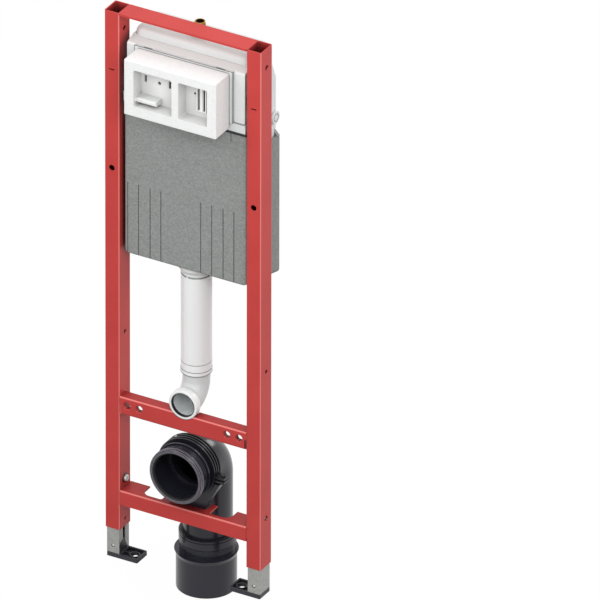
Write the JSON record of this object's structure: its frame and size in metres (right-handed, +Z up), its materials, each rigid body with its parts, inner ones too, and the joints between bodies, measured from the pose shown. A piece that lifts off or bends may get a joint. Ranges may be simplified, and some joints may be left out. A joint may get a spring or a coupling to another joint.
{
  "type": "wall hung toilet frame",
  "caption": "Tall steel frame on telescopic feet that carries a concealed cistern, its flush pipe and a drain bend for a wall hung toilet.",
  "frame": {"origin": "underside of the left foot plate, under the middle of the left leg", "axes": "+Z up, +X from the left post to the right post seen from the front, +Y towards the wall behind"},
  "size_m": [0.32, 0.1887, 1.172],
  "materials": {
    "red_coating": "satin powder coat",
    "galvanised": "matt zinc",
    "black_moulding": "fine grained",
    "white_plastic": "satin",
    "grey_foam": "speckled foam",
    "white_foam": "beaded foam",
    "brass": "machined",
    "white_pipe": "satin",
    "seal_rubber": "matt",
    "black_pipe": "semi-gloss"
  },
  "bodies": {
    "left_foot": {"left_leg": "galvanised", "left_foot_plate": "black_moulding"},
    "right_foot": {"right_leg": "galvanised", "right_foot_plate": "black_moulding"},
    "frame": {"left_post": "red_coating", "right_post": "red_coating", "top_beam": "red_coating", "upper_rail": "red_coating", "lower_rail": "red_coating", "left_tank_shelf": "red_coating", "right_tank_shelf": "red_coating", "tank_shell": "white_plastic", "tank_lid": "white_plastic", "left_side_plug": "white_plastic", "right_side_plug": "white_plastic", "insulation_jacket": "grey_foam", "service_frame": "white_plastic", "service_housing": "white_foam", "actuator_guides": "white_plastic", "water_inlet": "brass", "inlet_nut": "brass", "flush_pipe": "white_pipe", "flush_bend": "white_pipe", "flush_seal": "seal_rubber", "drain_socket": "black_pipe", "drain_seal": "seal_rubber", "drain_bend": "black_pipe", "clamp_strap": "black_moulding", "clamp_saddle": "black_moulding", "drain_reducer": "black_pipe", "reducer_seal": "seal_rubber"}
  },
  "joints": [
    {"name": "frame_height", "type": "slide", "parent": "left_foot", "child": "frame", "axis": [0, 0, 1], "range_m": [-0.047, 0.153]},
    {"name": "right_foot_extension", "type": "slide", "parent": "frame", "child": "right_foot", "axis": [0, 0, -1], "range_m": [-0.047, 0.153]}
  ]
}
